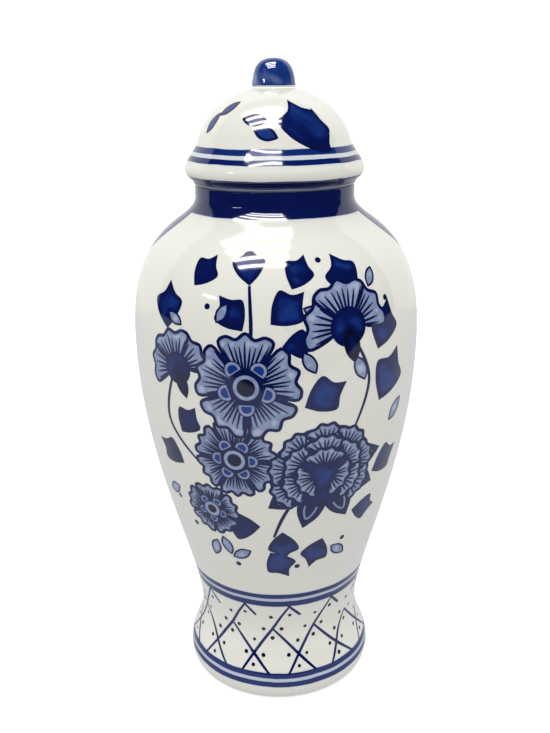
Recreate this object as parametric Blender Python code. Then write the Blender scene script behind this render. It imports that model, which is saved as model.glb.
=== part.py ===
"""Ginger jar with a lifting lid, in glazed porcelain.

Three pieces: the hollow jar, the domed lid that hangs in its mouth, and the knob stuck on the
lid's crown. Each piece is an outline turned once round the Z axis.
Metres, +Z up. The jar stands on z = 0 with its axis on the Z axis.
"""
import bpy
from mathutils import Vector
from mathutils.geometry import interpolate_bezier

MM = 0.001

# Jar, outside
JAR_HEIGHT = 163.2 * MM          # table to lip
FOOT_RADIUS = 30.6 * MM          # widest part of the spreading foot
FOOT_LEVEL = 5.0 * MM            # height of that widest part
STANDING_RADIUS = 28.0 * MM      # outer edge of the flat ring that the jar stands on
WAIST_RADIUS = 26.4 * MM
WAIST_LEVEL = 21.6 * MM
BELLY_RADIUS = 44.7 * MM
BELLY_LEVEL = 118.3 * MM
NECK_RADIUS = 24.5 * MM
NECK_LENGTH = 3.4 * MM           # upright stretch between the shoulder and the lip
LIP_ROUNDING = 0.6 * MM

# Jar, inside and underneath
JAR_WALL = 4.0 * MM
NECK_WALL = 3.6 * MM
FLOOR_THICKNESS = 5.5 * MM
FOOT_RING_WIDTH = 3.8 * MM       # flat ring, outer to inner edge
FOOT_RECESS = 3.2 * MM           # how far the underside is hollowed inside the ring

# Lid
LID_HEIGHT = 27.7 * MM           # underside of the rim to the crown
RIM_OVERHANG = 2.9 * MM          # past the neck, all round
RIM_LEVEL = 4.5 * MM             # widest part of the rim, above its underside
EDGE_OVERHANG = 0.2 * MM         # lower edge of the rim, past the neck
FLARE_REACH = 4.2 * MM           # rim past the flank of the dome
FLANK_LEVEL = 12.7 * MM          # where the dome ends and the flare to the rim begins
LID_WALL = 3.2 * MM
FLANGE_DEPTH = 9.0 * MM
FLANGE_WALL = 2.6 * MM
FLANGE_CLEARANCE = 0.8 * MM      # flange to the mouth, all round
LID_SEAT_GAP = 0.3 * MM          # rim to the lip

# Knob
KNOB_RADIUS = 6.6 * MM
KNOB_HEIGHT = 8.5 * MM
KNOB_SEAT_MARGIN = 0.4 * MM      # flat of the crown, past the knob's base
KNOB_SLIP_GAP = 0.3 * MM         # knob to the crown, filled by slip in the real jar

# Roundness
TURN_STEPS = 44
LONG_CURVE_STEPS = 12
SHORT_CURVE_STEPS = 7
CORNER_STEPS = 4


def clear_scene():
    for item in list(bpy.data.objects):
        bpy.data.objects.remove(item, do_unlink=True)


def curve(start, first_handle, second_handle, end, steps):
    """Points of one Bezier stretch of an outline, without its first point."""
    corners = [Vector((radius, 0, level)) for radius, level in (start, first_handle, second_handle, end)]
    return [(point.x, point.z) for point in interpolate_bezier(*corners, steps + 1)][1:]


def upright_curve(start, end, start_pull, end_pull, steps):
    """A stretch that is upright at both ends. The pulls are shares of its height."""
    rise = end[1] - start[1]
    first_handle = (start[0], start[1] + start_pull * rise)
    second_handle = (end[0], end[1] - end_pull * rise)
    return curve(start, first_handle, second_handle, end, steps)


def rounded_corner(start, corner, end):
    """A soft quarter-turn from start to end, leaving both towards the corner."""
    bend = 0.55
    first_handle = tuple(a + bend * (b - a) for a, b in zip(start, corner))
    second_handle = tuple(a + bend * (b - a) for a, b in zip(end, corner))
    return curve(start, first_handle, second_handle, end, CORNER_STEPS)


def turned_piece(name, outline, material):
    """Turns an outline of (radius, level) points round the Z axis into a closed piece."""
    mesh = bpy.data.meshes.new(name)
    links = [(index, index + 1) for index in range(len(outline) - 1)]
    mesh.from_pydata([(radius, 0, level) for radius, level in outline], links, [])
    piece = bpy.data.objects.new(name, mesh)
    bpy.context.scene.collection.objects.link(piece)
    turn = piece.modifiers.new("Turn", "SCREW")
    turn.axis = "Z"
    turn.steps = TURN_STEPS
    turn.render_steps = TURN_STEPS
    turn.use_merge_vertices = True
    turn.merge_threshold = 0.01 * MM
    turn.use_smooth_shade = True
    mesh.materials.append(material)
    return piece


def glaze(name, colour, roughness):
    material = bpy.data.materials.new(name)
    material.use_nodes = True
    shader = material.node_tree.nodes["Principled BSDF"]
    shader.inputs["Base Color"].default_value = (*colour, 1)
    shader.inputs["Roughness"].default_value = roughness
    shader.inputs["Metallic"].default_value = 0
    return material


# The jar's outline: inside from the floor up to the lip, outside down to the foot, and underneath.
def make_jar():
    neck_level = JAR_HEIGHT - NECK_LENGTH
    mouth_radius = NECK_RADIUS - NECK_WALL
    floor_level = FOOT_RECESS + FLOOR_THICKNESS
    shoulder_pull = 0.85
    neck_pull = 0.20

    inner_waist = (WAIST_RADIUS - JAR_WALL, WAIST_LEVEL + JAR_WALL)
    inner_belly = (BELLY_RADIUS - JAR_WALL, BELLY_LEVEL)
    inner_neck = (mouth_radius, neck_level - NECK_WALL)
    floor_edge = (inner_waist[0] - JAR_WALL, floor_level)
    outline = [(0, floor_level), floor_edge]
    outline += rounded_corner(floor_edge, (inner_waist[0], floor_level), (inner_waist[0], floor_level + JAR_WALL))
    outline += [inner_waist]
    outline += upright_curve(inner_waist, inner_belly, 0.18, 0.46, LONG_CURVE_STEPS)
    outline += upright_curve(inner_belly, inner_neck, shoulder_pull, neck_pull, LONG_CURVE_STEPS)

    inner_lip = (mouth_radius, JAR_HEIGHT - LIP_ROUNDING)
    inner_top = (mouth_radius + LIP_ROUNDING, JAR_HEIGHT)
    outer_top = (NECK_RADIUS - LIP_ROUNDING, JAR_HEIGHT)
    outer_lip = (NECK_RADIUS, JAR_HEIGHT - LIP_ROUNDING)
    outline += [inner_lip]
    outline += rounded_corner(inner_lip, (mouth_radius, JAR_HEIGHT), inner_top)
    outline += [outer_top]
    outline += rounded_corner(outer_top, (NECK_RADIUS, JAR_HEIGHT), outer_lip)

    neck = (NECK_RADIUS, neck_level)
    belly = (BELLY_RADIUS, BELLY_LEVEL)
    waist = (WAIST_RADIUS, WAIST_LEVEL)
    foot = (FOOT_RADIUS, FOOT_LEVEL)
    outline += [neck]
    outline += upright_curve(neck, belly, neck_pull, shoulder_pull, LONG_CURVE_STEPS)
    outline += upright_curve(belly, waist, 0.46, 0.18, LONG_CURVE_STEPS)
    outline += upright_curve(waist, foot, 0.45, 0.35, SHORT_CURVE_STEPS)

    ring_outer = (STANDING_RADIUS, 0)
    ring_inner = (STANDING_RADIUS - FOOT_RING_WIDTH, 0)
    recess_edge = (ring_inner[0] - FOOT_RECESS / 3, FOOT_RECESS)
    outline += rounded_corner(foot, (FOOT_RADIUS, 0), ring_outer)
    outline += [ring_inner, recess_edge, (0, FOOT_RECESS)]
    return turned_piece("jar_body", outline, glaze("jar_body", (0.80, 0.81, 0.79), 0.12))


# The lid's outline, levels measured from its underside: outside over the dome and the flare to the
# rim, in under the rim, down round the flange that drops into the mouth, and up the hollow of the dome.
def make_lid():
    crown_edge = (KNOB_RADIUS + KNOB_SEAT_MARGIN, LID_HEIGHT)
    rim = (NECK_RADIUS + RIM_OVERHANG, RIM_LEVEL)
    flank = (rim[0] - FLARE_REACH, FLANK_LEVEL)
    lower_edge = (NECK_RADIUS + EDGE_OVERHANG, 0)
    dome_rise = LID_HEIGHT - FLANK_LEVEL
    dome_reach = flank[0] - crown_edge[0]
    crown_handle = (crown_edge[0] + 0.57 * dome_reach, LID_HEIGHT - 0.19 * dome_rise)
    flank_handle = (flank[0] - 0.12 * dome_reach, FLANK_LEVEL + 0.47 * dome_rise)
    flare_drop = FLANK_LEVEL - RIM_LEVEL
    flare_handle = (flank[0] + 0.15 * FLARE_REACH, FLANK_LEVEL - 0.275 * flare_drop)
    rim_handle = (rim[0], RIM_LEVEL + 0.28 * flare_drop)
    under_handle = (rim[0], 0.42 * RIM_LEVEL)
    edge_handle = (lower_edge[0] + 0.21 * (rim[0] - lower_edge[0]), 0.43 * RIM_LEVEL)
    outline = [(0, LID_HEIGHT), crown_edge]
    outline += curve(crown_edge, crown_handle, flank_handle, flank, LONG_CURVE_STEPS)
    outline += curve(flank, flare_handle, rim_handle, rim, SHORT_CURVE_STEPS)
    outline += curve(rim, under_handle, edge_handle, lower_edge, CORNER_STEPS)

    flange_outer = NECK_RADIUS - NECK_WALL - FLANGE_CLEARANCE
    flange_inner = flange_outer - FLANGE_WALL
    edge_break = 0.25 * FLANGE_WALL
    outline += [(flange_outer, 0), (flange_outer, edge_break - FLANGE_DEPTH)]
    outline += [(flange_outer - edge_break, -FLANGE_DEPTH), (flange_inner + edge_break, -FLANGE_DEPTH)]
    outline += [(flange_inner, edge_break - FLANGE_DEPTH)]

    throat = (flange_inner, 0)
    hollow_side = (flank[0] - LID_WALL, FLANK_LEVEL)
    hollow_top = (0, LID_HEIGHT - LID_WALL)
    hollow_rise = hollow_top[1] - hollow_side[1]
    side_handle = (0.90 * hollow_side[0], hollow_side[1] + 0.45 * hollow_rise)
    top_handle = (0.42 * hollow_side[0], hollow_top[1])
    outline += [throat]
    outline += upright_curve(throat, hollow_side, 0.4, 0.4, CORNER_STEPS)
    outline += curve(hollow_side, side_handle, top_handle, hollow_top, SHORT_CURVE_STEPS)
    return turned_piece("lid", outline, glaze("lid", (0.78, 0.80, 0.80), 0.12))


# The knob: a solid bud, levels measured from its flat base.
def make_knob():
    top = (0, KNOB_HEIGHT)
    side = (KNOB_RADIUS, 0.09 * KNOB_HEIGHT)
    base_edge = (0.97 * KNOB_RADIUS, 0)
    top_handle = (0.90 * KNOB_RADIUS, KNOB_HEIGHT)
    upper_handle = (0.93 * KNOB_RADIUS, 0.46 * KNOB_HEIGHT)
    outline = [top]
    outline += curve(top, top_handle, upper_handle, side, SHORT_CURVE_STEPS)
    outline += [base_edge]
    outline += [(0, 0)]
    return turned_piece("knob", outline, glaze("knob", (0.62, 0.66, 0.74), 0.12))


clear_scene()
make_jar()
lid = make_lid()
lid.location = (0, 0, JAR_HEIGHT + LID_SEAT_GAP)
knob = make_knob()
knob.parent = lid
knob.location = (0, 0, LID_HEIGHT + KNOB_SLIP_GAP)
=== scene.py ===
import math

import bpy
import numpy as np
from mathutils import Euler, Matrix, Vector, kdtree
from mathutils.geometry import delaunay_2d_cdt, interpolate_bezier


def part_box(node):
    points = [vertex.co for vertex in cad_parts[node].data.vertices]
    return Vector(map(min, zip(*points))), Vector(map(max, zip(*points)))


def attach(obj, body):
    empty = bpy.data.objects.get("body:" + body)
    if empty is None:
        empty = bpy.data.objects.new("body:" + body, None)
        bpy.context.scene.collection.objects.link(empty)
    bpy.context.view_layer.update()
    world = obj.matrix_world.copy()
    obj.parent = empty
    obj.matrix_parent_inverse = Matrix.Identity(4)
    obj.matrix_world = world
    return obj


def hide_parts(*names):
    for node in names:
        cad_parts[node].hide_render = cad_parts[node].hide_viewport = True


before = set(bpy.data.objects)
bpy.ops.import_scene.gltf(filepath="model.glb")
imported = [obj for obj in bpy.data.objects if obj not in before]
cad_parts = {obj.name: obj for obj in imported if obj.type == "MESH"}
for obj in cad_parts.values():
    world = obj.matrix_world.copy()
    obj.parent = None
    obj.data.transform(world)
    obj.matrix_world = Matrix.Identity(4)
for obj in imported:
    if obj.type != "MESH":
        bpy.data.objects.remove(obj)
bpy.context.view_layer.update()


# ---------------------------------------------------------------------------------------------
# The jar: porcelain cast in a mould and turned true, hollow with a wall of about 4 mm, then painted
# by brush in cobalt on the raw body and covered with one clear glossy glaze, bare only under the foot.
# ---------------------------------------------------------------------------------------------
MM = 0.001
jar_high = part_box("jar_body")[1]
JAR_HEIGHT = jar_high.z / MM
BELLY_RADIUS = jar_high.x / MM
BELLY_LEVEL = 118.3
NECK_RADIUS = 24.5
NECK_LEVEL = JAR_HEIGHT - 3.4
WAIST_RADIUS = 26.4
WAIST_LEVEL = 21.6
FOOT_RADIUS = 30.6
FOOT_LEVEL = 5.0
STANDING_RADIUS = 28.0
FOOT_RING_WIDTH = 3.8
FOOT_RECESS = 3.2
FLOOR_LEVEL = 8.7
JAR_WALL = 4.0
NECK_WALL = 3.6
LIP_ROUNDING = 0.6

SHEET_RADIUS = 40.0       # a millimetre across a sheet is a millimetre round the ware at this radius
COLUMN_ANGLE = 3.0        # degrees between the sheet's upright rows of points
BARE, PALE, MID, DEEP, BLACK = 0.0, 0.34, 0.66, 0.86, 1.0    # strengths of cobalt
UNPAINTED = -1.0          # inside walls and undersides
CROWDED = 0.35            # a point of the plain grid this near a brush edge is left out, in mm
WELD = 0.004              # points of a sheet nearer than this are one, in mm


def stretch(start, first_handle, second_handle, end, steps):
    """One Bezier stretch of an outline, in (radius, level) millimetres, without its first point."""
    corners = [Vector((*place, 0)) for place in (start, first_handle, second_handle, end)]
    return [(point.x, point.y) for point in interpolate_bezier(*corners, steps + 1)][1:]


def upright_stretch(start, end, start_pull, end_pull, steps):
    """A stretch that is upright at both ends. The pulls are shares of its height."""
    rise = end[1] - start[1]
    first_handle, second_handle = (start[0], start[1] + start_pull * rise), (end[0], end[1] - end_pull * rise)
    return stretch(start, first_handle, second_handle, end, steps)


def soft_corner(start, corner, end, steps=5):
    """A quarter-turn from start to end, leaving both towards the corner."""
    handles = [tuple(a + 0.55 * (b - a) for a, b in zip(place, corner)) for place in (start, end)]
    return stretch(start, *handles, end, steps)


class Brushwork:
    """Cobalt shapes brushed on a turned wall, kept as outlines on the flat sheet that wraps round it.

    A place on the ware is (degrees to the right of the front, level in mm). On the sheet it is
    (mm round at SHEET_RADIUS, mm up from the outline's start, so below it is negative).
    """

    def __init__(self, outline, seam, hand=7):
        self.radius, self.level = np.array(outline, float).T
        self.along = -np.concatenate([[0], np.cumsum(np.hypot(np.diff(self.radius), np.diff(self.level)))])
        self.seam = seam
        self.turned, self.mirrored = 0.0, 1.0
        self.hand = np.random.default_rng(hand)
        self.shapes = []

    def paint_on(self, first, last):
        """The rows of the outline from first to last take paint."""
        self.first, self.last = first, last

    def on_sheet(self, places):
        places = np.asarray(places, float)
        levels, along = self.level[self.first:self.last], self.along[self.first:self.last]
        across = np.radians(self.turned + self.mirrored * places[:, 0]) * SHEET_RADIUS
        return np.column_stack([across, np.interp(-places[:, 1], -levels, along)])

    def shaped(self, centre, size, shape, bearing=0.0):
        """Places of a shape given in shares of size, sideways and out from centre, turned from upright."""
        turn = math.radians(bearing)
        hub = self.on_sheet([centre])
        reach = SHEET_RADIUS / self.spread(hub)[0]
        levels, along = self.level[self.first:self.last], self.along[self.first:self.last]
        places = []
        for across, out in shape:
            x = size * (across * math.cos(turn) + out * math.sin(turn))
            y = size * (out * math.cos(turn) - across * math.sin(turn))
            places.append((centre[0] + math.degrees(x / reach), np.interp(-hub[0][1] - y, -along, levels)))
        return places

    def spread(self, points):
        """Sheet millimetres for each real millimetre round the wall there."""
        return SHEET_RADIUS / np.maximum(np.interp(-points[:, 1], -self.along, self.radius), 1)

    def keep(self, outline, tone):
        self.shapes.append((outline, tone))

    def through(self, places, closed):
        """A smooth path through the places. A place given twice is a sharp corner."""
        knots = self.on_sheet(places)
        count = len(knots)
        path = []
        for index in range(count if closed else count - 1):
            picks = [index + step for step in (-1, 0, 1, 2)]
            if closed:
                before, start, end, after = (knots[pick % count] for pick in picks)
            else:
                before, start, end, after = (knots[min(max(pick, 0), count - 1)] for pick in picks)
            length = np.linalg.norm(end - start)
            if length < 1e-6:
                continue
            steps = int(np.clip(np.ceil(length / 0.8), 2, 12))
            t = np.arange(steps)[:, None] / steps
            path.append(0.5 * (2 * start + (end - before) * t
                               + (2 * before - 5 * start + 4 * end - after) * t**2
                               + (3 * start - before - 3 * end + after) * t**3))
        if not closed:
            path.append(knots[-1:])
        return np.concatenate(path)

    def beside(self, path, offsets, closed):
        """The path moved sideways by real millimetres."""
        spread = self.spread(path)
        along = np.roll(path, -1, 0) - np.roll(path, 1, 0) if closed else np.gradient(path, axis=0)
        along[:, 0] /= spread
        length = np.maximum(np.linalg.norm(along, axis=1), 1e-9)
        moved = np.column_stack([-along[:, 1], along[:, 0]]) * (offsets / length)[:, None]
        moved[:, 0] *= spread
        return path + moved

    def line(self, places, width=0.9, tone=DEEP, start=0.5, end=0.25):
        """A brush line. start and end are its widths there, as shares of the widest."""
        path = self.through(places, False)
        swell = np.interp(np.linspace(0, 1, len(path)), [0, 0.35, 0.7, 1], [start, 1, 0.9, end]) * width / 2
        left, right = (self.beside(path, side * swell, False) for side in (1, -1))
        self.keep(np.concatenate([left, right[::-1]]), tone)

    def blot(self, places, tone=DEEP, rim=0.0, fill=None):
        """A filled shape, or a rim of that width in tone round a fill."""
        path = self.through(places, True)
        if fill is None:
            self.keep(path, tone)
            return path
        following = np.roll(path, -1, 0)
        turn = np.sign(np.sum(path[:, 0] * following[:, 1] - following[:, 0] * path[:, 1]))
        for offset, strength in ((-turn * rim / 2, tone), (turn * rim / 2, fill)):
            self.keep(self.beside(path, np.full(len(path), offset), True), strength)
        return path

    def petal(self, places, root, rays=6, reach=0.8, fill=PALE, rim=1.0, width=0.9, tone=DEEP):
        """A washed petal with a dark rim, and dark rays drawn out from its root."""
        path = self.blot(places, tone, rim, fill)
        hub = self.on_sheet([root])[0]
        spread = self.spread(hub[None])[0]
        arms = (path - hub) / [spread, 1]
        angles = np.unwrap(np.arctan2(arms[:, 1], arms[:, 0]))
        lengths = np.hypot(*arms.T)
        low, high = angles.min(), angles.max()
        for ray in range(rays):
            angle = low + (ray + 0.5 + 0.16 * self.hand.uniform(-1, 1)) / rays * (high - low)
            reached = max(0.06, 0.5 * (high - low) / rays)
            near = np.abs((angles - angle + np.pi) % (2 * np.pi) - np.pi) < reached
            if not near.any():
                continue
            inner, outer = lengths[near].min(), lengths[near].max()
            if outer - inner < 0.3 * outer:
                inner = 0.25 * outer
            tip = inner + (outer - inner) * reach * self.hand.uniform(0.85, 1.08)
            way = np.array([np.cos(angle) * spread, np.sin(angle)])
            side = np.array([-np.sin(angle) * spread, np.cos(angle)])
            span = np.array([inner, inner + 0.75 * (tip - inner), tip])[:, None]
            wide = np.array([0.55, 0.4, 0.16])[:, None] * width
            left, right = hub + way * span + side * wide, hub + way * span - side * wide
            self.keep(np.concatenate([left, right[::-1]]), tone)

    def dot(self, place, radius, tone=DEEP, squash=1.0):
        centre = self.on_sheet([place])
        angle = np.linspace(0, 2 * np.pi, int(np.clip(9 * radius, 8, 28)), endpoint=False)
        sideways = np.cos(angle) * radius * self.spread(centre)
        ring = np.column_stack([sideways, np.sin(angle) * radius * squash])
        self.keep(centre + ring, tone)

    def rosette(self, centre, petals, ring, size, eye):
        """Half-round petals with pale rims round a black eye."""
        hub = self.on_sheet([centre])
        stretched = np.array([self.spread(hub)[0], 1])
        for bearing in petals:
            way = math.radians(bearing if self.mirrored > 0 else 180 - bearing)
            middle = hub + np.array([math.cos(way), math.sin(way)]) * stretched * ring
            around = way + np.radians(np.linspace(-115, 115, 13))
            for radius, tone in ((size + 0.35, DEEP), (size, PALE), (size * 0.66, MID)):
                arc = np.column_stack([np.cos(around), np.sin(around)]) * stretched * radius
                self.keep(middle + arc, tone)
        for radius, tone in ((eye + 1.5, DEEP), (eye + 1.1, PALE), (eye, BLACK)):
            self.dot(centre, radius, tone)


LEAF = ((0, 0), (0, 0), (-0.28, 0.3), (-0.4, 0.62), (-0.14, 0.76), (0, 1), (0, 1), (0.2, 0.74), (0.42, 0.56),
        (0.26, 0.24))
BLADE = ((0, 0), (0, 0), (-0.22, 0.35), (-0.2, 0.72), (0, 1), (0, 1), (0.2, 0.7), (0.22, 0.3))
LEAF_LIGHT = ((-0.1, 0.5), (-0.1, 0.75), (0, 0.92), (0.1, 0.75), (0.1, 0.5))


def fan(half_angle, scallops):
    """A petal that opens from a narrow root to a scalloped edge."""
    points = [(0, 0.2)]
    for step in range(2 * scallops + 1):
        angle = math.radians(half_angle * (step / scallops - 1))
        reach = 1.0 if step % 2 else 0.9
        points.append((math.sin(angle) * reach, math.cos(angle) * reach))
    return points


def bloom(b, centre, size, petals):
    b.dot(centre, 0.6 * size)
    for number in range(petals):
        petal = b.shaped(centre, size, fan(165 / petals, 3), 360 / petals * number)
        b.petal(petal, centre, rays=9, width=0.75)
    ring = [90 + 360 / petals * (number + 0.5) for number in range(petals)]
    b.rosette(centre, ring, 0.4 * size, 0.15 * size, 0.17 * size)


def poppy(b, centre, size, bearing):
    for lean in (-64, 64, 0):
        b.petal(b.shaped(centre, size, fan(42, 3), bearing + lean), centre, rays=8, width=0.8)
    b.dot(centre, 0.42 * size)
    b.blot(b.shaped(centre, 0.8 * size, BLADE, bearing + 180), BLACK)


def peony(b, centre, size):
    for bearing in (78, 112, 150, 196, 236):
        b.blot(b.shaped(centre, 1.35 * size, BLADE, bearing))
        b.line(b.shaped(centre, 1.2 * size, LEAF_LIGHT, bearing), 0.7, PALE, 0.6, 0.6)
    b.dot(centre, 0.8 * size)
    for reach, count in ((0.62, 7), (0.38, 5), (0.1, 3)):
        for number in range(count):
            bearing = 230 * (number / (count - 1) - 0.5)
            root = b.shaped(centre, reach * size, ((0, 1),), bearing)[0]
            b.petal(b.shaped(root, 0.5 * size, fan(60, 4), bearing), root, rays=8, width=0.7)


def spray(b):
    """Blooms, a peony and poppies on stems, with leaves all round."""
    stems = (((-10, 140), (-9, 126), (-12, 112)), ((28, 126), (36, 112), (30, 96)),
             ((-40, 116), (-46, 98), (-30, 84)), ((-16, 90), (-24, 78), (-32, 70)),
             ((-2, 62), (4, 72), (16, 84)), ((30, 128), (33, 138), (30, 144)))
    for stem in stems:
        b.line(stem, 1.1, DEEP, 0.7, 0.6)
    # each leaf is (root, length in mm, bearing)
    dark_leaves = (((-10, 140), 12, -8), ((6, 139), 11, 24), ((31, 136), 14, -22), ((-33, 139), 11, 28),
                   ((-44, 126), 14, -6), ((-12, 128), 12, -38), ((-2, 130), 13, 48), ((2, 124), 10, 84),
                   ((40, 120), 15, 22), ((42, 104), 17, 26), ((10, 106), 14, 62), ((-40, 95), 11, 34),
                   ((-42, 84), 12, -62), ((44, 80), 13, 62), ((36, 68), 11, 98), ((-8, 66), 13, -96),
                   ((2, 64), 12, 176), ((-4, 56), 12, 150), ((22, 60), 12, 196))
    for root, length, bearing in dark_leaves:
        b.blot(b.shaped(root, length, LEAF, bearing))
    pale_leaves = (((-37, 128), 6, -60), ((-22, 130), 6, 30), ((10, 134), 6, 110), ((38, 138), 6, 30),
                   ((34, 112), 8, -24), ((14, 116), 7, -30), ((-32, 58), 7, 200), ((-28, 60), 7, 165),
                   ((-14, 56), 7, 240), ((28, 56), 7, 130), ((50, 96), 8, 40), ((-50, 74), 7, -120))
    for root, length, bearing in pale_leaves:
        b.blot(b.shaped(root, length, BLADE, bearing), DEEP, 0.6, PALE)
    poppy(b, (-39, 115), 11.5, -18)
    poppy(b, (27, 128), 13.5, -10)
    bloom(b, (-31, 70), 9, 5)
    bloom(b, (-17, 89), 12.5, 6)
    bloom(b, (-11, 112), 15.5, 5)
    peony(b, (19, 84), 15)
    for place in ((-50, 120), (-26, 134), (18, 146), (46, 134), (-52, 70), (-44, 62), (34, 58), (-22, 50),
                  (10, 50)):
        b.dot(place, 0.9)

def side_sprig(b):
    """A bud, a tendril and leaves between the two sprays."""
    b.blot([(-21, 156.4), (-21, 156.4), (-8, 156.2), (-3, 154), (0, 150.5), (1, 146.5), (0, 142), (0, 142),
            (-7, 144), (-14, 147.5), (-19, 151.5)])
    b.blot([(21, 156.4), (21, 156.4), (11, 156), (5, 152), (4.5, 147.5), (7, 143), (7, 143), (14, 147.5),
            (19, 151.5)])
    b.line([(2, 142), (-2, 134), (-1, 126), (3, 119), (4, 111), (0, 104)], 0.9, DEEP, 0.6, 0.4)
    b.blot([(-3, 133), (-3, 133), (-7, 134.5), (-10, 132), (-11, 127.5), (-8.5, 124), (-8.5, 124), (-5, 127)])
    b.blot([(2, 127), (2, 127), (6.5, 129.5), (10, 128), (11.5, 123.5), (9, 119.5), (9, 119.5), (5.5, 122)])
    b.blot([(2.5, 115), (2.5, 115), (-2, 117), (-6.5, 115), (-8.5, 110.5), (-6.5, 106.5), (-6.5, 106.5),
            (-2, 110)])
    b.petal([(-6, 101), (-3.5, 104), (0, 105), (4, 104), (7, 101), (7.5, 96), (5, 92), (0, 90.5), (-5, 92),
             (-7.5, 96.5)], (0, 97), rays=12, reach=0.8, width=0.5)
    b.dot((0, 97), 2.4, BLACK)
    b.line([(0, 90), (-2, 84), (-1, 77), (2, 71), (2, 65)], 0.9, DEEP, 0.6, 0.3)
    b.blot([(-2.5, 84), (-2.5, 84), (-6, 86), (-9.5, 84), (-11, 79.5), (-8.5, 76), (-8.5, 76), (-5, 79)])
    b.blot([(0, 76), (0, 76), (4, 78.5), (8, 77), (9.5, 72.5), (7.5, 68.5), (7.5, 68.5), (3.5, 71.5)])
    b.blot([(2, 64), (2, 64), (-3, 63), (-5, 59), (-3, 54.5), (-3, 54.5), (1, 57.5)])
    for place in ((7, 111), (9, 107.5), (-9, 100), (9.5, 88), (-8, 70.5), (6.5, 62)):
        b.dot(place, 0.9)


def lattice(b):
    """Two sets of slanting lines crossing round the waist, with four dots round each crossing."""
    low, high = 9.0, 34.0
    for number in range(-1, 13):
        for slant, start in ((-2, -77), (4 / 3, -107)):
            wobble = b.hand.uniform(-0.6, 0.6, 6)
            levels = np.linspace(low, high, 6)
            path = [(start + 30 * number + slant * (level - 15) + shift, level)
                    for level, shift in zip(levels, wobble)]
            dry = b.hand.integers(0, 4) == 0
            for stroke in ((path[:4], path[4:]) if dry else (path,)):
                b.line(stroke, 1.0, 0.8, 0.75, 0.7)
    for level in (6, 15, 24, 33):
        for number in range(-4, 9):
            middle = 13 + 30 * number - 2 * (level - 15)
            for degrees, rise in ((-6.2, 0), (6.2, 0), (0, 4.4), (0, -3.6)):
                sideways, upwards = b.hand.uniform(-0.5, 0.5), b.hand.uniform(-0.3, 0.3)
                place = (middle + degrees + sideways, level + rise + upwards)
                if low + 1.6 < place[1] < high - 1.6:
                    b.dot(place, b.hand.uniform(0.54, 0.76), 0.95)


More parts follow.
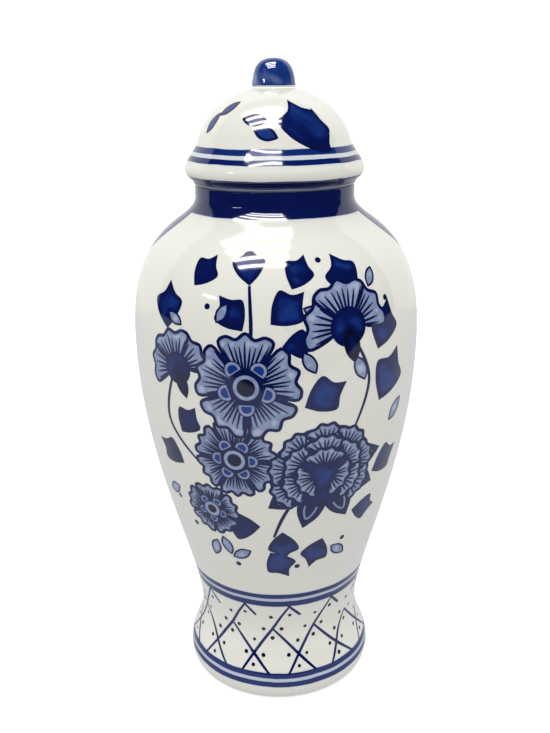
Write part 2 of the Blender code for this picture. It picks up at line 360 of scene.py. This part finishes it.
def cut_sheet(name, brush):
    """The flat sheet: every brush edge is cut into it, so that each shape is whole faces of one tone."""
    start = math.radians(brush.seam) * SHEET_RADIUS
    end = math.radians(brush.seam + 360) * SHEET_RADIUS
    columns = np.linspace(start, end, round(360 / COLUMN_ANGLE) + 1)
    rows = brush.along
    top, foot = rows[brush.first], rows[brush.last - 1]
    grid = np.array([(across, along) for along in rows for across in columns])
    shapes = []
    for outline, tone in brush.shapes:
        for turn in (-1, 0, 1):
            moved = outline + [turn * (end - start), 0]
            if moved[:, 0].max() > start and moved[:, 0].min() < end:
                shapes.append((moved, tone))
    points, links = [grid], []
    last_column, last_row = len(columns) - 1, len(rows) - 1
    for row in range(last_row):
        for column in (0, last_column):
            links.append((row * len(columns) + column, (row + 1) * len(columns) + column))
    for column in range(last_column):
        for row in (0, last_row):
            links.append((row * len(columns) + column, row * len(columns) + column + 1))
    count = len(grid)
    for outline, tone in shapes:
        points.append(outline)
        numbers = np.arange(count, count + len(outline))
        links += zip(numbers.tolist(), np.roll(numbers, -1).tolist())
        count += len(outline)
    if shapes:
        edge_places = kdtree.KDTree(count - len(grid))
        for index, (across, along) in enumerate(np.concatenate(points[1:])):
            edge_places.insert((across, along, 0), index)
        edge_places.balance()
        inner = (grid[:, 0] > start + 1e-3) & (grid[:, 0] < end - 1e-3)
        inner &= (grid[:, 1] < -1e-3) & (grid[:, 1] > rows[-1] + 1e-3)
        clear = np.array([not held or edge_places.find((*place, 0))[2] > CROWDED
                          for place, held in zip(grid, inner)])
    else:
        clear = np.ones(len(grid), bool)
    everything = np.concatenate(points)
    kept = np.concatenate([clear, np.ones(count - len(grid), bool)])
    renumber = np.cumsum(kept) - 1
    links = [(int(renumber[a]), int(renumber[b])) for a, b in links]
    cut = delaunay_2d_cdt([Vector(place) for place in everything[kept]], links, [], 0, WELD, False)
    spots, faces = np.array(cut[0]), np.array(cut[2])
    centres = spots[faces].mean(axis=1)
    within = (centres[:, 0] > start) & (centres[:, 0] < end)
    faces, centres = faces[within], centres[within]
    tones = np.where((centres[:, 1] < top) & (centres[:, 1] > foot), BARE, UNPAINTED)
    for outline, tone in shapes:
        low, high = outline.min(axis=0), outline.max(axis=0)
        near = np.flatnonzero((centres > low).all(axis=1) & (centres < high).all(axis=1))
        if len(near) == 0:
            continue
        x, y = centres[near].T
        inside = np.zeros(len(near), bool)
        for (x1, y1), (x2, y2) in zip(outline, np.roll(outline, -1, 0)):
            if y1 != y2:
                inside ^= ((y1 > y) != (y2 > y)) & (x < x1 + (y - y1) * (x2 - x1) / (y2 - y1))
        tones[near[inside]] = tone
    used, faces = np.unique(faces, return_inverse=True)
    spots, faces = spots[used], faces.reshape(-1, 3)

    sides = np.sort(np.concatenate([faces[:, [0, 1]], faces[:, [1, 2]], faces[:, [2, 0]]]), axis=1)
    side_tones = np.tile(tones, 3)
    order = np.lexsort((sides[:, 1], sides[:, 0]))
    sides, side_tones = sides[order], side_tones[order]
    paired = (sides[1:] == sides[:-1]).all(axis=1) & (side_tones[1:] != side_tones[:-1])
    brush_edge = sides[1:][paired]
    clearance = np.full(len(spots), 3.0)
    if len(brush_edge):
        share = np.array([0, 0.25, 0.5, 0.75, 1])[:, None, None]
        marks = (spots[brush_edge[:, 0]] * (1 - share) + spots[brush_edge[:, 1]] * share).reshape(-1, 2)
        tree = kdtree.KDTree(len(marks))
        for index, (across, along) in enumerate(marks):
            tree.insert((across, along, 0), index)
        tree.balance()
        clearance = np.array([min(tree.find((*spot, 0))[2], 3.0) for spot in spots])

    mesh = bpy.data.meshes.new(name)
    mesh.from_pydata([(across * MM, along * MM, 0) for across, along in spots], [], faces.tolist())
    mesh.attributes.new("cobalt", "FLOAT", "FACE").data.foreach_set("value", tones.astype(np.float32))
    mesh.attributes.new("edge", "FLOAT", "POINT").data.foreach_set("value", clearance.astype(np.float32))
    across = (spots[:, 0] - start) / (end - start)
    shares = np.interp(-spots[:, 1], [0, -top, -foot, -rows[-1]] if top < 0 else [0, -foot, -rows[-1]],
                       [0, 0.07, 0.96, 1] if top < 0 else [0, 0.9, 1])
    layout = mesh.uv_layers.new(name="OFBake")
    corners = np.column_stack([across, 1 - shares])[faces.ravel()]
    layout.data.foreach_set("uv", np.clip(corners, 0, 1).astype(np.float32).ravel())
    piece = bpy.data.objects.new(name, mesh)
    bpy.context.scene.collection.objects.link(piece)
    return piece


def outline_curve(name, outline):
    line = bpy.data.curves.new(name, "CURVE")
    line.dimensions = "3D"
    spline = line.splines.new("POLY")
    spline.points.add(len(outline) - 1)
    spline.points.foreach_set("co", np.array([(r * MM, 0, z * MM, 1) for r, z in outline]).ravel())
    path = bpy.data.objects.new(name, line)
    bpy.context.scene.collection.objects.link(path)
    return path


def turning():
    """Wraps a sheet round the axis: across it is the way round, and down it is the way along the outline."""
    tree = bpy.data.node_groups.new("Turned on the wheel", "GeometryNodeTree")
    for label, kind in (("Sheet", "Geometry"), ("Outline", "Object"), ("Sheet radius", "Float"),
                        ("Join within", "Float"), ("Glaze", "Material")):
        tree.interface.new_socket(label, in_out="INPUT", socket_type=f"NodeSocket{kind}")
    tree.interface.new_socket("Ware", in_out="OUTPUT", socket_type="NodeSocketGeometry")

    def node(kind, settings=None, inputs=None):
        made = tree.nodes.new(kind)
        for key, value in (settings or {}).items():
            setattr(made, key, value)
        for key, value in (inputs or {}).items():
            if isinstance(value, bpy.types.NodeSocket):
                tree.links.new(value, made.inputs[key])
            else:
                made.inputs[key].default_value = value
        return made

    def sum_of(operation, *values):
        return node("ShaderNodeMath", {"operation": operation}, dict(enumerate(values))).outputs[0]

    given = node("NodeGroupInput")
    spot = node("ShaderNodeSeparateXYZ", None, {0: node("GeometryNodeInputPosition").outputs[0]})
    angle = sum_of("DIVIDE", spot.outputs["X"], given.outputs["Sheet radius"])
    outline = node("GeometryNodeObjectInfo", {"transform_space": "ORIGINAL"},
                   {"Object": given.outputs["Outline"]})
    reached = node("GeometryNodeSampleCurve", {"mode": "LENGTH"},
                   {"Curves": outline.outputs["Geometry"],
                    "Length": sum_of("MULTIPLY", spot.outputs["Y"], -1.0)})
    place = node("ShaderNodeSeparateXYZ", None, {0: reached.outputs["Position"]})
    way = node("ShaderNodeSeparateXYZ", None, {0: reached.outputs["Tangent"]})
    right, ahead = sum_of("SINE", angle), sum_of("MULTIPLY", sum_of("COSINE", angle), -1.0)

    def swung(radius, level):
        return node("ShaderNodeCombineXYZ", None, {
            "X": sum_of("MULTIPLY", radius, right), "Y": sum_of("MULTIPLY", radius, ahead),
            "Z": level}).outputs[0]

    facing = swung(sum_of("MULTIPLY", way.outputs["Z"], -1.0), way.outputs["X"])
    marked = node("GeometryNodeStoreNamedAttribute", {"data_type": "FLOAT_VECTOR", "domain": "POINT"},
                  {"Geometry": given.outputs["Sheet"], "Name": "facing", "Value": facing})
    wrapped = node("GeometryNodeSetPosition", None, {
        "Geometry": marked.outputs[0], "Position": swung(place.outputs["X"], place.outputs["Z"])})
    joined = node("GeometryNodeMergeByDistance", None,
                  {"Geometry": wrapped.outputs[0], "Distance": given.outputs["Join within"]})
    real = node("GeometryNodeRealizeInstances", None, {"Geometry": joined.outputs[0]})
    glazed = node("GeometryNodeSetMaterial", None,
                  {"Geometry": real.outputs[0], "Material": given.outputs["Glaze"]})
    tree.links.new(glazed.outputs[0], node("NodeGroupOutput").inputs["Ware"])
    return tree


wheel = turning()


def turn_piece(name, brush, outline, glaze):
    """Turns the painted sheet into the finished piece, with the outline's own smooth normals."""
    sheet = cut_sheet(name + "_sheet", brush)
    path = outline_curve(name + "_outline", outline)
    turn = sheet.modifiers.new("Turning", "NODES")
    turn.node_group = wheel
    sockets = {item.name: item.identifier for item in wheel.interface.items_tree if item.in_out == "INPUT"}
    inputs = {"Outline": path, "Sheet radius": SHEET_RADIUS * MM, "Join within": 3e-6, "Glaze": glaze}
    for label, value in inputs.items():
        turn[sockets[label]] = value
    bpy.context.view_layer.update()
    mesh = bpy.data.meshes.new_from_object(sheet.evaluated_get(bpy.context.evaluated_depsgraph_get()))
    for spare in (sheet, path):
        bpy.data.objects.remove(spare)
    mesh.name = name
    normals = np.zeros(len(mesh.vertices) * 3, np.float32)
    mesh.attributes["facing"].data.foreach_get("vector", normals)
    normals = normals.reshape(-1, 3)
    places = np.zeros(len(mesh.vertices) * 3, np.float32)
    mesh.vertices.foreach_get("co", places)
    places = places.reshape(-1, 3)
    on_axis = np.hypot(places[:, 0], places[:, 1]) < 1e-5
    normals[on_axis, :2] = 0
    mesh.attributes.remove(mesh.attributes["facing"])
    mesh.shade_smooth()
    mesh.normals_split_custom_set_from_vertices(normals.tolist())
    piece = bpy.data.objects.new(name, mesh)
    bpy.context.scene.collection.objects.link(piece)
    return piece


class Recipe:
    """The nodes of one glaze, or of another material or the light round the table."""

    def __init__(self, owner):
        owner.use_nodes = True
        self.owner = owner
        self.nodes, self.links = owner.node_tree.nodes, owner.node_tree.links
        self.nodes.clear()

    def node(self, kind, settings=None, inputs=None, wanted=0):
        made = self.nodes.new(kind)
        for key, value in (settings or {}).items():
            if key == "stops":
                ramp = made.color_ramp
                while len(ramp.elements) < len(value):
                    ramp.elements.new(0.5)
                for element, (place, colour) in zip(ramp.elements, value):
                    element.position, element.color = place, (*colour, 1)
            else:
                setattr(made, key, value)
        for key, value in (inputs or {}).items():
            if isinstance(value, Strength):
                self.links.new(value.socket, made.inputs[key])
            else:
                made.inputs[key].default_value = value
        return Strength(self, made.outputs[wanted])

    def blend(self, share, first, second):
        settings = {"data_type": "RGBA"}
        made = self.node("ShaderNodeMix", settings, {0: share}, 2)
        for index, colour in ((6, first), (7, second)):
            socket = made.socket.node.inputs[index]
            if isinstance(colour, Strength):
                self.links.new(colour.socket, socket)
            else:
                socket.default_value = (*colour, 1)
        return made

    def rise(self, value, low, high):
        """0 below low, 1 above high, and a soft step between."""
        return self.node("ShaderNodeMapRange", {"interpolation_type": "SMOOTHSTEP"},
                         {"Value": value, "From Min": low, "From Max": high})

    def band(self, value, low, high, soft=0.15):
        return self.rise(value, low - soft, low + soft) * (1 - self.rise(value, high - soft, high + soft))

    def mottle(self, place, scale, detail=2.0, distortion=0.0):
        return self.node("ShaderNodeTexNoise", None,
                         {"Vector": place, "Scale": scale, "Detail": detail, "Distortion": distortion})

    def finish(self, shader, kind="ShaderNodeOutputMaterial"):
        output = self.nodes.new(kind)
        self.links.new(shader.socket, output.inputs["Surface"])


class Strength:
    """A number or colour that varies over the ware. A sum on it adds the nodes for that sum."""

    def __init__(self, recipe, socket):
        self.recipe, self.socket = recipe, socket

    def reckon(self, operation, first, second=0.0):
        return self.recipe.node("ShaderNodeMath", {"operation": operation}, {0: first, 1: second})

    def __add__(self, other): return self.reckon("ADD", self, other)
    def __radd__(self, other): return self.reckon("ADD", other, self)
    def __sub__(self, other): return self.reckon("SUBTRACT", self, other)
    def __rsub__(self, other): return self.reckon("SUBTRACT", other, self)
    def __mul__(self, other): return self.reckon("MULTIPLY", self, other)
    def __rmul__(self, other): return self.reckon("MULTIPLY", other, self)
    def __gt__(self, other): return self.reckon("GREATER_THAN", self, other)
    def __lt__(self, other): return self.reckon("LESS_THAN", self, other)
    def at_least(self, other): return self.reckon("MAXIMUM", self, other)


PORCELAIN = (0.81, 0.80, 0.73)
WASH = (0.35, 0.42, 0.58)
BRIGHT_COBALT = (0.007, 0.036, 0.20)
DEEP_COBALT = (0.0012, 0.0075, 0.092)
NIGHT_COBALT = (0.0010, 0.0030, 0.026)
BISCUIT = (0.66, 0.60, 0.50)


def glaze(name, bands, biscuit_below=None, patchy=0.05):
    """Clear glaze over cobalt. bands are (low, high, tone) in mm above the table."""
    recipe = Recipe(bpy.data.materials.new(name))
    place = recipe.node("ShaderNodeTexCoord", None, None, "Object")
    level = recipe.node("ShaderNodeSeparateXYZ", None, {0: place}, "Z") * 1000.0
    painted = recipe.node("ShaderNodeAttribute", {"attribute_name": "cobalt"}, None, "Fac")
    edge = recipe.node("ShaderNodeAttribute", {"attribute_name": "edge"}, None, "Fac")
    outside = painted > -0.5
    streaks = recipe.mottle(place, 330.0, 2.0)
    pooled = recipe.mottle(place, 75.0, 3.0, 0.8)
    inner = recipe.rise(edge, 0.2, 2.2)
    washed = (painted > 0.15) * (painted < 0.5)
    tone = painted.at_least(0.0)
    tone = tone + (painted > 0.75) * (0.06 - 0.24 * inner * recipe.rise(pooled, 0.36, 0.62))
    tone = tone + washed * ((streaks - 0.5) * 0.16 - 0.12 * recipe.rise(edge, 0.3, 1.8))
    tone = tone + (painted < 0.5) * outside * (1 - recipe.rise(edge, 0.0, 0.7)) * (0.05 + 0.07 * washed)
    waver = (recipe.mottle(place, 120.0, 3.0, 0.4) - 0.5) * 0.5
    for low, high, strength in bands:
        painted_band = recipe.band(level + waver, low, high) * outside
        tone = tone.at_least(painted_band * (strength + patchy * (pooled - 0.5)))
        tone = tone.at_least(recipe.band(level, low - 0.5, high + 0.5, 0.7) * outside * 0.09)
    colour = recipe.node("ShaderNodeValToRGB", {"stops": (
        (BARE, PORCELAIN), (PALE, WASH), (MID, BRIGHT_COBALT), (DEEP, DEEP_COBALT),
        (BLACK, NIGHT_COBALT))}, {0: tone}, "Color")
    cloud = recipe.mottle(place, 14.0, 2.0)
    colour = recipe.blend((1 - recipe.rise(tone, 0.0, 0.2)) * cloud * 0.35, colour, (0.76, 0.76, 0.66))
    roughness = 0.04 + 0.04 * recipe.rise(recipe.mottle(place, 30.0), 0.35, 0.75) + 0.02 * streaks
    if biscuit_below is not None:
        bare = 1 - recipe.rise(level, biscuit_below - 0.2, biscuit_below + 0.2)
        grog = recipe.mottle(place, 900.0, 4.0)
        colour = recipe.blend(bare, colour, recipe.blend(grog, BISCUIT, (0.74, 0.69, 0.60)))
        roughness = roughness + bare * 0.7
    swell = recipe.mottle(place, 42.0, 1.0) * 0.6 + recipe.mottle(place, 260.0, 1.0) * 0.05
    dimple = recipe.node("ShaderNodeBump", None,
                         {"Strength": 0.12, "Distance": 0.0012, "Height": swell}, "Normal")
    shader = recipe.node("ShaderNodeBsdfPrincipled", None,
                         {"Base Color": colour, "Roughness": roughness, "Normal": dimple,
                          "IOR": 1.52}, "BSDF")
    recipe.finish(shader)
    return recipe.owner


def jar_outline():
    """(outline, first painted row, last painted row): inside, lip, outside and underneath."""
    mouth = NECK_RADIUS - NECK_WALL
    inner_waist = (WAIST_RADIUS - JAR_WALL, WAIST_LEVEL + JAR_WALL)
    floor_edge = (inner_waist[0] - JAR_WALL, FLOOR_LEVEL)
    floor_side = (inner_waist[0], FLOOR_LEVEL + JAR_WALL)
    inner_belly, inner_neck = (BELLY_RADIUS - JAR_WALL, BELLY_LEVEL), (mouth, NECK_LEVEL - NECK_WALL)
    path = [(0, FLOOR_LEVEL), (floor_edge[0] / 2, FLOOR_LEVEL), floor_edge]
    path += soft_corner(floor_edge, (inner_waist[0], FLOOR_LEVEL), floor_side) + [inner_waist]
    path += upright_stretch(inner_waist, inner_belly, 0.18, 0.46, 16)
    path += upright_stretch(inner_belly, inner_neck, 0.85, 0.20, 14)
    lip = JAR_HEIGHT - LIP_ROUNDING
    path += [(mouth, lip)]
    path += soft_corner((mouth, lip), (mouth, JAR_HEIGHT), (mouth + LIP_ROUNDING, JAR_HEIGHT))
    path += [(NECK_RADIUS - LIP_ROUNDING, JAR_HEIGHT)]
    first = len(path) - 1
    path += soft_corner(path[-1], (NECK_RADIUS, JAR_HEIGHT), (NECK_RADIUS, lip))
    neck, belly, waist = (NECK_RADIUS, NECK_LEVEL), (BELLY_RADIUS, BELLY_LEVEL), (WAIST_RADIUS, WAIST_LEVEL)
    foot = (FOOT_RADIUS, FOOT_LEVEL)
    path += [neck] + upright_stretch(neck, belly, 0.20, 0.85, 34)
    path += upright_stretch(belly, waist, 0.46, 0.18, 48) + upright_stretch(waist, foot, 0.45, 0.35, 14)
    path += soft_corner(foot, (FOOT_RADIUS, 0), (STANDING_RADIUS, 0))
    last = len(path)
    ring = STANDING_RADIUS - FOOT_RING_WIDTH
    recess = ring - FOOT_RECESS / 3
    path += [(ring, 0), (recess, FOOT_RECESS), (recess / 2, FOOT_RECESS), (0, FOOT_RECESS)]
    return path, first, last


outline, first, last = jar_outline()
jar_brush = Brushwork(outline, seam=-118)
jar_brush.paint_on(first, last)
spray(jar_brush)
lattice(jar_brush)
jar_brush.turned, jar_brush.mirrored = 180.0, -1.0
spray(jar_brush)
jar_brush.turned, jar_brush.mirrored = 90.0, 1.0
side_sprig(jar_brush)
jar_brush.turned, jar_brush.mirrored = -90.0, -1.0
side_sprig(jar_brush)
jar_bands = ((36.4, 38.2, 0.80), (35.3, 36.5, 0.24), (33.1, 35.3, 0.80), (8.0, 9.7, 0.80), (7.0, 8.1, 0.24),
             (5.2, 7.0, 0.80), (155.7, 175.0, 0.89))
jar = turn_piece("painted_jar", jar_brush, outline, glaze("Jar glaze", jar_bands, biscuit_below=0.15))
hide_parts("jar_body")
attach(jar, "jar")


# ---------------------------------------------------------------------------------------------
# The lid: a thin porcelain dome cast in one with its rim and the flange that hangs in the mouth,
# painted and glazed as the jar is. It only rests on the lip, so it lifts straight off.
# ---------------------------------------------------------------------------------------------
knob_low, knob_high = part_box("knob")
lid_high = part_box("lid")[1]
LID_HEIGHT = 27.7
LID_BASE = lid_high.z / MM - LID_HEIGHT
KNOB_RADIUS = knob_high.x / MM
KNOB_HEIGHT = (knob_high.z - knob_low.z) / MM
KNOB_SEAT_MARGIN = 0.4
RIM_OVERHANG = 2.9
RIM_LEVEL = 4.5
EDGE_OVERHANG = 0.2
FLARE_REACH = 4.2
FLANK_LEVEL = 12.7
LID_WALL = 3.2
FLANGE_DEPTH = 9.0
FLANGE_OUTER = NECK_RADIUS - NECK_WALL - 0.8
FLANGE_INNER = FLANGE_OUTER - 2.6


def lid_outline():
    """(outline, first painted row, last painted row): dome, flare, rim, flange and hollow."""
    crown_edge, rim = (KNOB_RADIUS + KNOB_SEAT_MARGIN, LID_HEIGHT), (NECK_RADIUS + RIM_OVERHANG, RIM_LEVEL)
    flank, lower_edge = (rim[0] - FLARE_REACH, FLANK_LEVEL), (NECK_RADIUS + EDGE_OVERHANG, 0)
    rise, reach, drop = LID_HEIGHT - FLANK_LEVEL, flank[0] - crown_edge[0], FLANK_LEVEL - RIM_LEVEL
    path = [(0, LID_HEIGHT), (crown_edge[0] / 2, LID_HEIGHT), crown_edge]
    path += stretch(crown_edge, (crown_edge[0] + 0.57 * reach, LID_HEIGHT - 0.19 * rise),
                    (flank[0] - 0.12 * reach, FLANK_LEVEL + 0.47 * rise), flank, 22)
    path += stretch(flank, (flank[0] + 0.15 * FLARE_REACH, FLANK_LEVEL - 0.275 * drop),
                    (rim[0], RIM_LEVEL + 0.28 * drop), rim, 12)
    path += stretch(rim, (rim[0], 0.42 * RIM_LEVEL),
                    (lower_edge[0] + 0.21 * (rim[0] - lower_edge[0]), 0.43 * RIM_LEVEL), lower_edge, 10)
    last = len(path)
    broken = 0.65
    path += [(FLANGE_OUTER, 0), (FLANGE_OUTER, broken - FLANGE_DEPTH)]
    path += soft_corner(path[-1], (FLANGE_OUTER, -FLANGE_DEPTH), (FLANGE_OUTER - broken, -FLANGE_DEPTH), 3)
    path += [(FLANGE_INNER + broken, -FLANGE_DEPTH)]
    path += soft_corner(path[-1], (FLANGE_INNER, -FLANGE_DEPTH), (FLANGE_INNER, broken - FLANGE_DEPTH), 3)
    throat, side, top = (FLANGE_INNER, 0), (flank[0] - LID_WALL, FLANK_LEVEL), (0, LID_HEIGHT - LID_WALL)
    hollow = top[1] - side[1]
    path += [throat] + upright_stretch(throat, side, 0.4, 0.4, 6)
    path += stretch(side, (0.90 * side[0], side[1] + 0.45 * hollow), (0.42 * side[0], top[1]), top, 10)
    return [(radius, level + LID_BASE) for radius, level in path], 2, last


def lid_sprays(b):
    """A spray of leaves and small dabs over half of the dome."""
    for bearing, length in ((-16, 18), (18, 14), (58, 9)):
        b.blot(b.shaped((27, 174.5), length, LEAF, bearing))
    for place, bearing in (((2, 178), -70), ((-6, 182.5), -84), ((-62, 179), 20), ((-54, 184), 40)):
        b.blot(b.shaped(place, 7, BLADE, bearing), DEEP, 0.8, MID)


outline, first, last = lid_outline()
lid_brush = Brushwork(outline, seam=-90, hand=11)
lid_brush.paint_on(first, last)
lid_sprays(lid_brush)
lid_brush.turned = 180.0
lid_sprays(lid_brush)
lid_bands = ((173.2, 174.9, 0.76), (172.0, 173.3, 0.14), (170.6, 172.1, 0.84), (163.85, 166.3, 0.93),
             (163.3, 163.85, 0.45))
lid = turn_piece("painted_lid", lid_brush, outline, glaze("Lid glaze", lid_bands))
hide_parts("lid")
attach(lid, "lid")


# ---------------------------------------------------------------------------------------------
# The knob: a solid bud of porcelain stuck to the crown with slip before firing, washed with
# cobalt down to a thin white ring of slip at its base.
# ---------------------------------------------------------------------------------------------
KNOB_BASE = knob_low.z / MM


def knob_outline():
    side, base = (KNOB_RADIUS, KNOB_BASE + 0.09 * KNOB_HEIGHT), (0.97 * KNOB_RADIUS, KNOB_BASE)
    top = (0, KNOB_BASE + KNOB_HEIGHT)
    over, down = (0.90 * KNOB_RADIUS, top[1]), (0.93 * KNOB_RADIUS, KNOB_BASE + 0.46 * KNOB_HEIGHT)
    path = [top] + stretch(top, over, down, side, 20)
    path += [(side[0], KNOB_BASE + 0.05 * KNOB_HEIGHT), base]
    return path + [(0, KNOB_BASE)], 0, len(path)


outline, first, last = knob_outline()
knob_brush = Brushwork(outline, seam=-90, hand=3)
knob_brush.paint_on(first, last)
knob_bands = ((KNOB_BASE + 0.5, KNOB_BASE + 20.0, 0.64),)
knob = turn_piece("painted_knob", knob_brush, outline, glaze("Knob glaze", knob_bands, patchy=0.6))
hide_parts("knob")
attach(knob, "lid")


# ---------------------------------------------------------------------------------------------
# The studio: a pale table that sweeps up behind the jar in even white light. The glaze mirrors a
# dark hood open at the back, a louvred lamp under its roof and one small lamp at the left. The hood
# glows as a painted reflection: dark for the room, and pale on its floor near the jar for the lit table.
# ---------------------------------------------------------------------------------------------
HOOD_HALF_WIDTH, HOOD_BACK, HOOD_FRONT, HOOD_TOP = 1.74, 0.50, -3.0, 1.09
# where the painted reflection of the lit table ends on the hood's floor
PAINTED_TABLE_REFLECTION_EDGE = -0.29
LOUVRE_MIDDLE = (-0.19, -0.26, 1.05)
LOUVRE_SIZE = (0.66, 0.84)
LOUVRES = 4


def show(item, mesh_or_lamp):
    piece = bpy.data.objects.new(item, mesh_or_lamp)
    bpy.context.scene.collection.objects.link(piece)
    return piece


def table_and_backdrop():
    mesh = bpy.data.meshes.new("table")
    back, sweep = 1.2, 0.9
    path = [(-3.0, 0.0), (back, 0.0)]
    path += [(back + sweep * math.sin(turn), sweep - sweep * math.cos(turn))
             for turn in np.linspace(0, math.pi / 2, 13)[1:]]
    path += [(back + sweep, 4.0)]
    spots = [(side, y, z) for y, z in path for side in (-4.0, 4.0)]
    mesh.from_pydata(spots, [], [(2 * i, 2 * i + 1, 2 * i + 3, 2 * i + 2) for i in range(len(path) - 1)])
    mesh.shade_smooth()
    paper = Recipe(bpy.data.materials.new("Pale paper"))
    place = paper.node("ShaderNodeTexCoord", None, None, "Object")
    colour = paper.blend(paper.mottle(place, 40.0, 3.0), (0.93, 0.93, 0.93), (0.95, 0.95, 0.95))
    paper.finish(paper.node("ShaderNodeBsdfPrincipled", None, {
        "Base Color": colour, "Roughness": 0.9, "Specular IOR Level": 0.0,
        "Emission Color": (1, 1, 1, 1), "Emission Strength": 0.35}, "BSDF"))
    mesh.materials.append(paper.owner)
    table = show("table", mesh)
    table.visible_diffuse = table.visible_glossy = False


def dark_hood():
    """Seen only in the glaze, as a painted reflection: it glows dark for a dark room, and pale on its floor
    near the jar for the lit table. It shades nothing and the camera looks through it.
    """
    mesh = bpy.data.meshes.new("hood")
    left, right = -HOOD_HALF_WIDTH, HOOD_HALF_WIDTH
    under_table = -0.002
    corners = [(x, y, z) for x in (left, right) for y in (HOOD_FRONT, HOOD_BACK)
               for z in (under_table, HOOD_TOP)]
    mesh.from_pydata(corners, [], [(0, 1, 3, 2), (4, 6, 7, 5), (0, 4, 5, 1), (1, 5, 7, 3), (0, 2, 6, 4)])
    reflection_paint = Recipe(bpy.data.materials.new("Painted room reflection"))
    place = reflection_paint.node("ShaderNodeTexCoord", None, None, "Object")
    # dark mottled glow: painted reflection of a dark room
    dim = reflection_paint.blend(reflection_paint.mottle(place, 1.6, 2.0), (0.005, 0.005, 0.01), (0.06, 0.06, 0.075))
    spot = reflection_paint.node("ShaderNodeSeparateXYZ", None, {0: place}, "Y")
    # pale glow on the hood's floor in front of the jar: painted reflection of the lit table
    painted_table_reflection = (spot > PAINTED_TABLE_REFLECTION_EDGE) * (reflection_paint.node("ShaderNodeSeparateXYZ", None, {0: place}, "Z") < 0.0)
    reflection_paint.finish(reflection_paint.node("ShaderNodeEmission", None,
                          {"Color": reflection_paint.blend(painted_table_reflection, dim, (0.66, 0.69, 0.75))}, "Emission"))
    mesh.materials.append(reflection_paint.owner)
    hood = show("hood", mesh)
    hood.visible_camera = hood.visible_diffuse = hood.visible_shadow = hood.visible_transmission = False


def lamp(name, place, aim, size, watts, in_glaze=True):
    """A flat lamp. One that shows in the glaze adds only its mirror image."""
    light = bpy.data.lights.new(name, "AREA")
    light.shape = "RECTANGLE"
    light.size, light.size_y = size
    light.energy = watts
    item = show(name, light)
    item.location = place
    item.rotation_euler = (Vector(aim) - Vector(place)).to_track_quat("-Z", "Y").to_euler()
    item.visible_glossy, item.visible_diffuse = in_glaze, not in_glaze


table_and_backdrop()
dark_hood()
louvre_pitch = LOUVRE_SIZE[1] / LOUVRES
for number in range(LOUVRES):
    x, y, z = LOUVRE_MIDDLE
    y += (number - (LOUVRES - 1) / 2) * louvre_pitch
    lamp(f"louvre_{number}", (x, y, z), (x, y, 0), (LOUVRE_SIZE[0], 0.4 * louvre_pitch), 5.0)
x, y, z = LOUVRE_MIDDLE
lamp("louvre_glow", (x, y, z + 0.01), (x, y, 0), LOUVRE_SIZE, 6.0)
lamp("small_lamp", (-0.94, -0.66, 0.50), (-0.01, -0.03, 0.13), (0.25, 0.03), 0.7)
lamp("overhead_softbox", (-0.3, -0.5, 1.6), (0, 0, 0.1), (1.2, 1.2), 6.0, in_glaze=False)

room = Recipe(bpy.data.worlds.new("Soft room"))
way = room.node("ShaderNodeTexCoord", None, None, "Generated")
height = room.node("ShaderNodeSeparateXYZ", None, {0: way}, "Z")
light = room.node("ShaderNodeValToRGB", {"stops": ((0.30, (0.42, 0.43, 0.45)), (0.44, (1, 1, 1)))},
                  {0: height * 0.5 + 0.5}, "Color")
room.finish(room.node("ShaderNodeBackground", None, {"Color": light}, "Background"), "ShaderNodeOutputWorld")
bpy.context.scene.world = room.owner
bpy.context.scene.view_settings.view_transform = "Standard"


# ---------------------------------------------------------------------------------------------
# The camera: close to the jar, a little above the knob and looking down at the belly.
# ---------------------------------------------------------------------------------------------
lens = bpy.data.cameras.new("camera")
lens.sensor_width = 36.0
lens.lens = 42.84
lens.shift_x, lens.shift_y = -0.0015, -0.0566
lens.clip_start = 0.01
camera = bpy.data.objects.new("camera", lens)
tilt = Euler((math.pi / 2 - 0.2709, 0, 0)).to_matrix().to_4x4() @ Matrix.Rotation(-0.01, 4, "Z")
camera.matrix_world = Matrix.Translation((0, -0.270, 0.19277)) @ tilt
bpy.context.scene.collection.objects.link(camera)
bpy.context.scene.camera = camera
